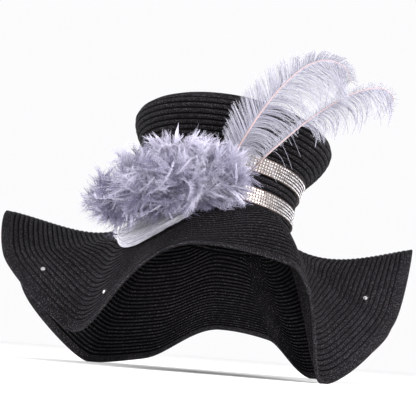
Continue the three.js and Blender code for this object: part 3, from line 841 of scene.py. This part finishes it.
def barbules(curves, count, length, tone, place=None):
    """Fine hairs along both sides of each barb (n, m, 3), leaning towards its tip."""
    n, m = curves.shape[:2]
    t = np.linspace(0.06, 0.98, count) * (m - 1)
    base, along = on_path(curves, t)
    out = unit(np.cross(along, rng.normal(size=base.shape)))
    reach = length * rng.uniform(0.6, 1.15, base.shape[:2])[..., None]
    tips = base + out * reach * 0.8 + along * reach * 0.6
    half = along * HAIR_WIDTH / 2
    points = np.stack([base - half, base + half, tips], 2).reshape(-1, 3)
    # Painted shade: hairs are darker nearer their barb's root.
    light = painted_root_shade(t / (m - 1), n, place)
    tones = np.broadcast_to(np.asarray(tone)[:, None], (n, count))
    shade = np.repeat(np.stack([light, tones], -1).reshape(-1, 2), 3, axis=0)
    return points, np.arange(len(points)).reshape(-1, 3), shade


def tube(centre, radius, sides=8):
    """Closed tapering tube along centre (m, 3)."""
    along = unit(np.gradient(centre, axis=0))
    side = unit(np.cross(along, np.array([0.0, 1.0, 0.15])))
    up = np.cross(side, along)
    a = np.radians(around(sides))[:, None]
    ring = side[:, None] * np.cos(a) + up[:, None] * np.sin(a)
    points = (centre[:, None] + ring * radius[:, None, None]).reshape(-1, 3)
    first, count = np.arange(sides), len(points)
    ends = caps(count, first, first + count - sides)
    points = np.concatenate([points, centre[:1], centre[-1:]])
    wall = ring_faces(len(centre), sides, False)
    return [(points, wall), (np.zeros((0, 3)), ends - len(points))]


def plume_barbs(path, reach, side, count, look):
    """Curves of one vane's barbs: out from the quill, forward, then down under their weight."""
    start, end, lean, droop, curl = look
    evenly = (np.arange(count) + rng.uniform(0, 1, count)) / count
    t = start + (end - start) * (1 - (1 - evenly)**0.8)
    so_far = lengths(path)
    at = np.interp(t * so_far[-1], so_far, np.arange(len(path)))
    root, along = on_path(path, at)
    up = unit(along[:, ::-1] * (-1, 0, 1))
    length = np.interp(at, np.linspace(0, len(path) - 1, len(reach)), reach)
    length = length * rng.uniform(0.8, 1.1, count)
    length = length * np.where(rng.uniform(size=count) < 0.12, 0.7, 1.0)
    clump = np.interp(t, np.linspace(0, 1, 50), rng.normal(0, 4.5, 50))
    angle = np.radians(lean + clump + rng.normal(0, 3.0, count))[:, None]
    spread = (0.06 + rng.normal(0, 0.12, count))[:, None]
    out = side * up * np.cos(angle) + along * np.sin(angle) + FRONT * spread
    fall = droop * rng.uniform(0.7, 1.25, count)
    hook = curl * rng.uniform(0.3, 1.4, count)
    curves = []
    for u in np.linspace(0, 1, 10):
        p = root + length[:, None] * (out * (u - 0.12 * u**3) + FRONT * 0.1 * u**3)
        p[:, 2] -= fall * length * u**2.2
        p = p - along * (hook * length * u**3)[:, None]
        curves.append(p)
    return np.stack(curves, 1)


def stray_barbs(path, spots):
    """Single long barbs that have come loose and cross the vane."""
    curves = []
    for t, reach, bow, hang in spots:
        k = int(t * (len(path) - 1))
        along = unit(path[k + 1] - path[k])
        up = unit(along[::-1] * (-1, 0, 1))
        s = np.linspace(0, 1, 10)[:, None]
        arc = up * bow * np.sin(np.pi * s * 0.8) + FRONT * 2.5 * s
        curves.append(path[k] + along * reach * s + arc - UP * hang * s**1.6)
    return np.stack(curves)


def build_plume(name, material, quill_material):
    (at, height), rows = PLUMES[name]
    seat = crown_points(at, crown_out(height) + QUILL_SEAT, height)
    rows = np.array(rows, float)
    path = smooth_path(np.vstack([seat, rows[:, :3]]), 120)
    for side, column, label in ((1, 3, "outer"), (-1, 4, "inner")):
        reach = np.concatenate([[3.0, rows[0, column] + 4], rows[1:, column]])
        count, hairs, fine, look = PLUME_LOOKS[name][label]
        curves = plume_barbs(path, reach, side, count, look)
        tone = rng.uniform(0, 1, count)
        parts = [
            ribbons(curves, "plume", PLUME_FACE, tone),
            barbules(curves, hairs, fine, tone),
        ]
        if label == "outer":
            stray = stray_barbs(path, STRAYS[name])
            parts.append(ribbons(stray, "stray", PLUME_FACE, np.zeros(len(stray))))
        else:
            strands = plume_barbs(path, reach * 1.08, side, PLUME_STRANDS[name], STRAND_LOOK)
            none = np.zeros(len(strands))
            parts.append(ribbons(strands, "strand", PLUME_FACE, none, none))
        vane = join(f"{name}_{label}", parts, material)
        if label == "outer":
            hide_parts(name)
    radius = np.linspace(*QUILL_RADII, len(path))
    quill = join(f"{name}_quill", tube(path, radius), quill_material)


def down_feather(root, tip, face, barb, bend):
    """Barbs of one marabou feather, their places along it, and its shaft."""
    length = np.linalg.norm(tip - root)
    count = int(12 + length * 1.6)
    direction = unit(tip - root)
    side = unit(np.cross(direction, face))

    def shaft_at(s):
        s = s[:, None]
        arc = (side * bend[0] + face * bend[1]) * length * (s - s**2) * 1.6
        return root + direction * length * s + arc

    t = np.sort(rng.uniform(0.06, 1.0, count))
    base = shaft_at(t)
    forward = unit(shaft_at(t + 0.02) - shaft_at(t - 0.02))
    sign = np.where(np.arange(count) % 2, 1.0, -1.0)[:, None]
    tilt = rng.normal(0.25, 0.18, count)[:, None]
    out = unit(side * sign * np.cos(tilt) + face * np.sin(tilt))
    reach = barb * np.interp(t, (0, 0.2, 0.55, 0.85, 1), (0.6, 1.0, 0.95, 0.6, 0.35))
    reach = (reach * rng.uniform(0.7, 1.1, count))[:, None]
    lean = np.interp(t, (0, 0.6, 1), (0.5, 0.9, 1.8))[:, None] + rng.normal(0, 0.1, (count, 1))
    curl = rng.normal(0, 0.3, 3) + rng.normal(0, 0.1, (count, 3))
    twist = rng.normal(0, 0.06, (count, 3))
    curves = []
    for u in np.linspace(0, 1, 8):
        p = out * (u - 0.35 * u**2) + forward * lean * u + curl * u**2
        p = p + twist * math.sin(2 * math.pi * u) - UP * 0.1 * u**2
        curves.append(base + reach * p)
    return np.stack(curves, 1), t, shaft_at(np.linspace(0, 1, 8))[None]


def marabou_point(local):
    """Points given as (right, up, out) from the marabou's centre."""
    return MARABOU_CENTRE + np.asarray(local) @ MARABOU_AXES


def within_fan(tip, barb):
    """The tip drawn in to the fan's outline, over the brim and clear of the crown."""
    swing = math.degrees(math.atan2(tip[1], tip[0]))
    if swing < -90:
        swing += 360
    reach = np.interp(swing, *FAN.T) * rng.uniform(0.9, 1.06) - 0.8 * barb
    shrink = min(1.0, reach / math.hypot(tip[0], tip[1]))
    up = max(tip[1] * shrink, np.interp(tip[0], *HEM))
    return np.array([tip[0] * shrink, up, np.clip(tip[2], 2, MARABOU_DEPTH - 6)])


def marabou_feather(root, way, length, barb, bow, tone):
    """One feather from its root the given way: its barbs, places, shaft and tone."""
    tip = within_fan(root + unit(way) * length, barb)
    start, end = marabou_point(root), marabou_point(tip)
    face = unit(MARABOU_AXES[2] + 0.5 * unit(end - start) + rng.normal(0, 0.3, 3))
    return (*down_feather(start, end, face, barb, rng.normal(0, bow, 2)), tone)


def marabou_feathers():
    """Every down feather, clump by clump, each clump spreading from its own root."""
    feathers = []
    for *place, length, front in CLUMPS:
        place = np.array(place, float)
        away = unit(place * (1, 1, 0)) * (1 - front) + np.array([0, 0, front])
        # Painted shade: clumps lower down are darker and higher ones lighter, with a random spread.
        tone = 0.5 + place[1] / 55 + rng.normal(0, 0.15)
        for _ in range(CLUMP_FEATHERS):
            root = place + rng.normal(0, 4, 3)
            root[2] = max(root[2], 3)
            way = away + rng.normal(0, 0.5, 3)
            reach = length * rng.uniform(0.65, 1.1)
            shade = np.clip(tone + rng.normal(0, 0.25), 0, 1)
            feathers.append(marabou_feather(root, way, reach, DOWN_BARB, 0.4, shade))
    for _ in range(CURLS):
        root = rng.uniform((-60, -16, 24), (40, 16, 34))
        way = rng.normal(0, 1, 3) * (1, 0.8, 0.3)
        # Painted highlight: the curls take the lightest tone, as strands that catch the light.
        feathers.append(marabou_feather(root, way, rng.uniform(28, 44), 3.5, 0.9, 1.0))
    return feathers


def tufts():
    """Pointed tips that stand out over the top of the down, a few strands to each, painted in the
    lightest tone as a highlight.
    """
    curves = []
    s = np.linspace(0, 1, 9)[:, None]
    for _ in range(TUFTS):
        swing = rng.uniform(62, 128)
        way = np.array([math.cos(math.radians(swing)), math.sin(math.radians(swing)), 0])
        reach = np.interp(swing, *FAN.T) * rng.uniform(0.8, 1.08)
        depth = rng.uniform(6, 22)
        start = marabou_point(way * (reach - rng.uniform(20, 30)) + (0, 0, depth))
        end = marabou_point(way * reach + (0, 0, depth))
        across = unit(np.cross(end - start, rng.normal(size=3)))
        bow = rng.normal(0, 5.0, 3)
        for strand in np.linspace(-1, 1, 7):
            fan_out = across * strand * 1.7 * np.sin(np.pi * np.minimum(s, 0.98))**0.8
            shorter = 1 - 0.12 * abs(strand)
            curves.append(start + (end - start) * s * shorter + fan_out + bow * s * (1 - s) * 2)
    return np.stack(curves)


def build_marabou(material):
    feathers = marabou_feathers()
    half = len(feathers) // 2
    for name, some in (("marabou_back", feathers[:half]), ("marabou_front", feathers[half:])):
        curves, place, stems = (np.concatenate([f[k] for f in some]) for k in range(3))
        tone = np.concatenate([np.full(len(f[0]), f[3]) for f in some])
        tone = np.clip(tone + rng.normal(0, 0.08, len(tone)), 0, 1)
        parts = [
            ribbons(curves, "down", MARABOU_FACE, tone, place),
            ribbons(stems, "stem", MARABOU_FACE, np.full(len(stems), 0.9)),
            barbules(curves, 9, 2.6, tone, place),
        ]
        if name == "marabou_front":
            strands = tufts()
            # Painted highlight: the tufts take the lightest tone.
            parts.append(ribbons(strands, "tuft", MARABOU_FACE, np.ones(len(strands))))
        piece = join(name, parts, material)
        if name == "marabou_back":
            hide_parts("marabou_cluster")
    head = join("marabou_head", marabou_head(), material)


def marabou_head():
    """Tufted head and the small pad by which the cluster is sewn to the lower band."""
    lat = np.radians(np.linspace(-88, 88, 18))[:, None]
    lon = np.radians(around(30))[None]
    lump = 1 + 0.06 * np.sin(5 * lon + 3 * lat) + 0.05 * np.sin(9 * lon - 4 * lat)
    wide, deep, tall = (size * lump for size in MARABOU_HEAD)
    local = [wide * np.cos(lat) * np.cos(lon), tall * np.sin(lat), -deep * np.cos(lat) * np.sin(lon)]
    ball = marabou_point(np.stack(local, -1))
    at, height, length = PAD
    seat = band_out("lower_band", height) + GAP
    share, a = np.linspace(0, 1, 8)[:, None], np.radians(around(16))
    at = at + (3.2 + 0.8 * share) * np.cos(a)
    pad = crown_points(at, seat + length * share, height + 7 * np.sin(a))
    return [(grid.reshape(-1, 3), ring_faces(*grid.shape[:2], False)) for grid in (ball, pad)]


def bent(values, share):
    """Quadratic curve from root to tip through the pull of the middle value."""
    root, bend, tip = values
    return (1 - share)**2 * root + 2 * (1 - share) * share * bend + share**2 * tip


def over_brim(points, at, way, lift):
    """The points at a height off the brim's top side that lie nearest to the given points."""
    for _ in range(4):
        off = points - brim_points(at, way)
        across = brim_points(at + 0.5, way) - brim_points(at - 0.5, way)
        out = (brim_points(at, way + 0.01) - brim_points(at, way - 0.01)) / 0.02
        aa = (across * across).sum(-1)
        ao = (across * out).sum(-1)
        oo = (out * out).sum(-1)
        a = (off * across).sum(-1)
        o = (off * out).sum(-1)
        whole = aa * oo - ao * ao
        at = at + (a * oo - o * ao) / whole
        way = np.clip(way + (o * aa - a * ao) / whole, 0.02, 0.98)
    return brim_points(at, way) + brim_normals(at, way) * lift[..., None]


def build_base_feathers(material):
    """Smooth blades on the brim: a shaft and long close-lying barbs on both sides."""
    parts = []
    for k, (angles, ways, width) in enumerate(BLADES):
        s = np.linspace(0, 1, 60)
        at, way = bent(angles, s), bent(ways, s)
        normal = brim_normals(at, way)
        lift = BLADE_LIFT + BLADE_RISE * (1 - s)**2 + BLADE_STACK * k
        shaft = brim_points(at, way) + normal * (lift + 0.6)[:, None]
        parts.append(ribbons(shaft[None], "shaft", normal[None], [0.2]))
        half = width / 2 * np.interp(s, *np.array(BLADE_OUTLINE).T)
        for sign in (-1, 1):
            parts.append(blade_side(sign, s, at, way, shaft, normal, half, lift))
    fibres, faces = loose_fibres()
    tones = rng.choice((0.0, 0.1, 0.6, 1.0), len(fibres))
    parts.append(ribbons(fibres, "fibre", faces, tones))
    piece = join("base_feather_blades", parts, material)
    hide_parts("base_feathers")


def blade_side(sign, s, at, way, shaft, normal, half, lift):
    """Barbs on one side of a blade: they lean far forward and lie nearly flat."""
    fine = np.sort(rng.uniform(0.0, 0.97, BLADE_BARBS))
    side = unit(np.cross(normal, unit(np.gradient(shaft, axis=0))))
    tip_share = np.minimum(fine + BLADE_RUN * rng.uniform(0.8, 1.2, BLADE_BARBS), 1.03)
    reach = np.interp(tip_share, s, half) * rng.uniform(0.7, 1.06, BLADE_BARBS)
    rise = rng.uniform(-0.3, 0.9, BLADE_BARBS)
    curves = []
    for u in np.linspace(0, 1, 9):
        here = fine + (tip_share - fine) * u
        sideways = sign * between(here, s, side) * (reach * math.sin(u * math.pi / 2)**1.3)[:, None]
        flat = between(here, s, shaft) + sideways
        height = np.interp(here, s, lift) + rise * math.sin(math.pi * u) + 0.4 * (1 - u)
        curves.append(over_brim(flat, np.interp(here, s, at), np.interp(here, s, way), height))
    tone = rng.uniform(0, 1, BLADE_BARBS)
    face = np.repeat(between(fine, s, normal)[:, None], 9, 1)
    return ribbons(np.stack(curves, 1), "blade", face, tone)


def loose_fibres():
    """Long single fibres fanned over the blades, from their upper border to their lower one.

    The normals of the brim below them come with them.
    """
    s = np.linspace(0, 1, 14)
    curves, normals = [], []
    for share in rng.uniform(0, 1, LOOSE_FIBRES)**0.8:
        here = rng.uniform(0.0, 0.4) + s * rng.uniform(0.4, 0.66)
        at, way = (
            bent(np.array(high) * (1 - share) + np.array(low) * share, here)
            for high, low in FIBRE_FAN
        )
        lift = BLADE_LIFT + 2.2 + rng.uniform(0, 2.5) * np.sin(np.pi * s) - 1.2 * s
        normals.append(brim_normals(at, way))
        curves.append(brim_points(at, way) + normals[-1] * lift[:, None])
    return np.stack(curves), np.stack(normals)


# Floor, light and camera

def build_floor():
    """Wide pale floor under the hat."""
    points = [(x * FLOOR_HALF, y * FLOOR_HALF, 0) for x, y in ((-1, -1), (1, -1), (1, 1), (-1, 1))]
    mesh = bpy.data.meshes.new("floor")
    mesh.from_pydata(points, [], [(0, 1, 2, 3)])
    floor = add("floor", mesh)
    look = Look("pale_floor")
    tone = look.ramp(look.noise(3.0), [(0.2, (0.94,) * 3), (0.8, (0.96,) * 3)])
    mesh.materials.append(look.settle({
        "Base Color": tone, "Roughness": 0.95, "Specular IOR Level": 0.1,
    }))


def area_light(name, place, size, power, aim_height, spread):
    data = bpy.data.lights.new(name, "AREA")
    data.shape = "RECTANGLE"
    data.size, data.size_y = size
    data.energy = power
    data.spread = math.radians(spread)
    light = add(name, data)
    light.location = place
    aim = Vector((0, 0, aim_height)) - Vector(place)
    light.rotation_mode = "QUATERNION"
    light.rotation_quaternion = aim.to_track_quat("-Z", "Y")


def build_light():
    world = bpy.data.worlds.new("studio")
    bpy.context.scene.world = world
    world.use_nodes = True
    background = world.node_tree.nodes["Background"]
    background.inputs[0].default_value = (0.99, 0.99, 1.0, 1)
    background.inputs[1].default_value = 0.98
    for light in LIGHTS:
        area_light(*light)
    bpy.context.scene.view_settings.view_transform = "Standard"


def build_camera():
    eye = Vector((SHIFT[0], SHIFT[1], 0)) * 0.001 + Vector((0, -CAMERA_DISTANCE, CAMERA_HEIGHT))
    aim = Vector(SHIFT) * 0.001 + Vector(CAMERA_AIM)
    data = bpy.data.cameras.new("camera")
    data.sensor_fit = "HORIZONTAL"
    focal_pixels = CAMERA_DISTANCE * 1000 / SCALE_AT_HAT
    data.angle = 2 * math.atan(FRAME_PIXELS / 2 / focal_pixels)
    data.clip_start = 0.01
    camera = add("camera", data)
    camera.location = eye
    camera.rotation_euler = (aim - eye).to_track_quat("-Z", "Y").to_euler()
    camera.rotation_euler.rotate_axis("Z", math.radians(CAMERA_ROLL))
    bpy.context.scene.camera = camera


build_camera()
straw = straw_material()
crystal = crystal_material("clear_stone", 420.0, (0.20, 0.19, 0.20), (0.54, 0.53, 0.55))
loose = crystal_material("loose_stone", 800.0, (0.03, 0.03, 0.035), (0.50, 0.50, 0.52))
silver = metal_material("silver_cup", (0.15, 0.125, 0.115), 0.5)
rose = metal_material("rose_wire", (0.20, 0.14, 0.12), 0.45)
down, hackle, barb, quill = (
    feather_material(name, *tones) for name, tones in FEATHER_TONES.items()
)
build_brim(straw)
build_crown(straw)
for band in BAND_SPANS:
    build_band(band, crystal, silver, rose)
dress_loose_stones(loose, silver)
build_marabou(down)
build_base_feathers(hackle)
for plume in PLUMES:
    build_plume(plume, barb, quill)
build_floor()
build_light()
